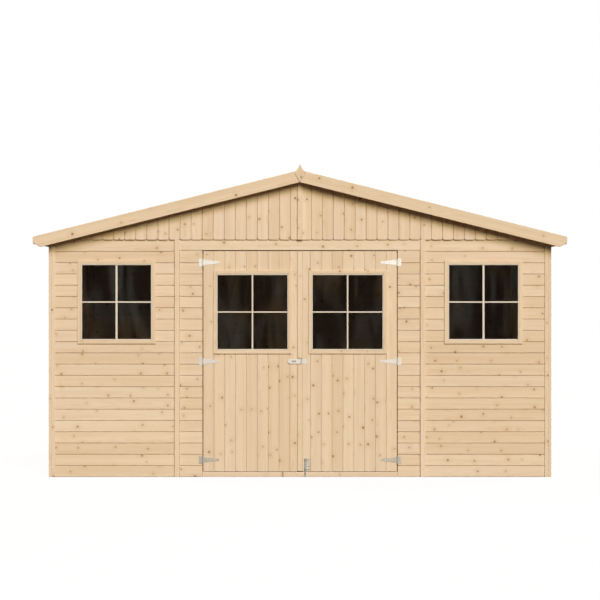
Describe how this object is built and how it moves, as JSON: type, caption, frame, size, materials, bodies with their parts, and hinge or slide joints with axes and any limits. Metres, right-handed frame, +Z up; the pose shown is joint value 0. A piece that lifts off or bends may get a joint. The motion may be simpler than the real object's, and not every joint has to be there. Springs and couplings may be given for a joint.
{
  "type": "wooden garden shed",
  "caption": "Low-pitched timber garden shed with tongue-and-groove walls, fixed windows and a pair of glazed ledged doors on T-hinges, closed by a hasp and a foot bolt.",
  "frame": {"origin": "middle of the ground plan at floor level, under the ridge", "axes": "+Z up, +X to the right as seen from the front, the doors look towards -Y"},
  "size_m": [4.156, 3.248, 2.4383],
  "materials": {
    "spruce_boards": "planed, untreated",
    "spruce_trim": "planed, untreated",
    "framing_timber": "sawn, untreated",
    "roofing_felt": "mineral-surfaced bitumen felt",
    "zinc_plate": "bright zinc plated",
    "window_glass": "clear float glass"
  },
  "bodies": {
    "shed": {"floor_bearers": "framing_timber", "floor_boards": "spruce_boards", "door_sill": "spruce_trim", "bolt_keeper": "zinc_plate", "front_left_wall": "spruce_boards", "front_right_wall": "spruce_boards", "front_left_pier": "spruce_boards", "front_right_pier": "spruce_boards", "front_header": "spruce_boards", "front_gable": "spruce_boards", "back_wall": "spruce_boards", "back_gable": "spruce_boards", "left_wall": "spruce_boards", "right_wall": "spruce_boards", "front_frame": "framing_timber", "back_frame": "framing_timber", "left_frame": "framing_timber", "right_frame": "framing_timber", "door_stops": "framing_timber", "corner_trims": "spruce_trim", "front_cover_strips": "spruce_trim", "back_cover_strips": "spruce_trim", "left_window_frame": "spruce_trim", "left_window_glass": "window_glass", "right_window_frame": "spruce_trim", "right_window_glass": "window_glass", "left_roof_boards": "spruce_boards", "right_roof_boards": "spruce_boards", "left_roof_felt": "roofing_felt", "right_roof_felt": "roofing_felt", "roof_purlins": "framing_timber", "eaves_boards": "spruce_trim", "front_left_barge_board": "spruce_trim", "front_right_barge_board": "spruce_trim", "back_left_barge_board": "spruce_trim", "back_right_barge_board": "spruce_trim", "front_finial": "spruce_trim", "back_finial": "spruce_trim", "hinge_plates": "zinc_plate"},
    "left_door": {"left_door_boards": "spruce_boards", "left_door_ledges": "framing_timber", "left_door_window_frame": "spruce_trim", "left_door_glass": "window_glass", "left_hinge_straps": "zinc_plate", "hasp_staple": "zinc_plate"},
    "right_door": {"right_door_boards": "spruce_boards", "right_door_ledges": "framing_timber", "right_door_window_frame": "spruce_trim", "right_door_glass": "window_glass", "right_hinge_straps": "zinc_plate", "door_cover_strip": "spruce_trim", "hasp_plate": "zinc_plate", "bolt_plate": "zinc_plate"},
    "hasp_leaf": {"hasp_leaf": "zinc_plate"},
    "bolt": {"bolt_rod": "zinc_plate"}
  },
  "joints": [
    {"name": "left_door_hinge", "type": "hinge", "parent": "shed", "child": "left_door", "pos_m": [-0.761, -1.5045, 0], "axis": [0, 0, -1], "range_deg": [0, 170]},
    {"name": "right_door_hinge", "type": "hinge", "parent": "shed", "child": "right_door", "pos_m": [0.761, -1.5045, 0], "axis": [0, 0, 1], "range_deg": [0, 170]},
    {"name": "hasp_swing", "type": "hinge", "parent": "right_door", "child": "hasp_leaf", "pos_m": [0.011, -1.5065, 0.905], "axis": [0, 0, 1], "range_deg": [0, 175]},
    {"name": "bolt_slide", "type": "slide", "parent": "right_door", "child": "bolt", "axis": [0, 0, 1], "range_m": [-0.012, 0.03]}
  ]
}
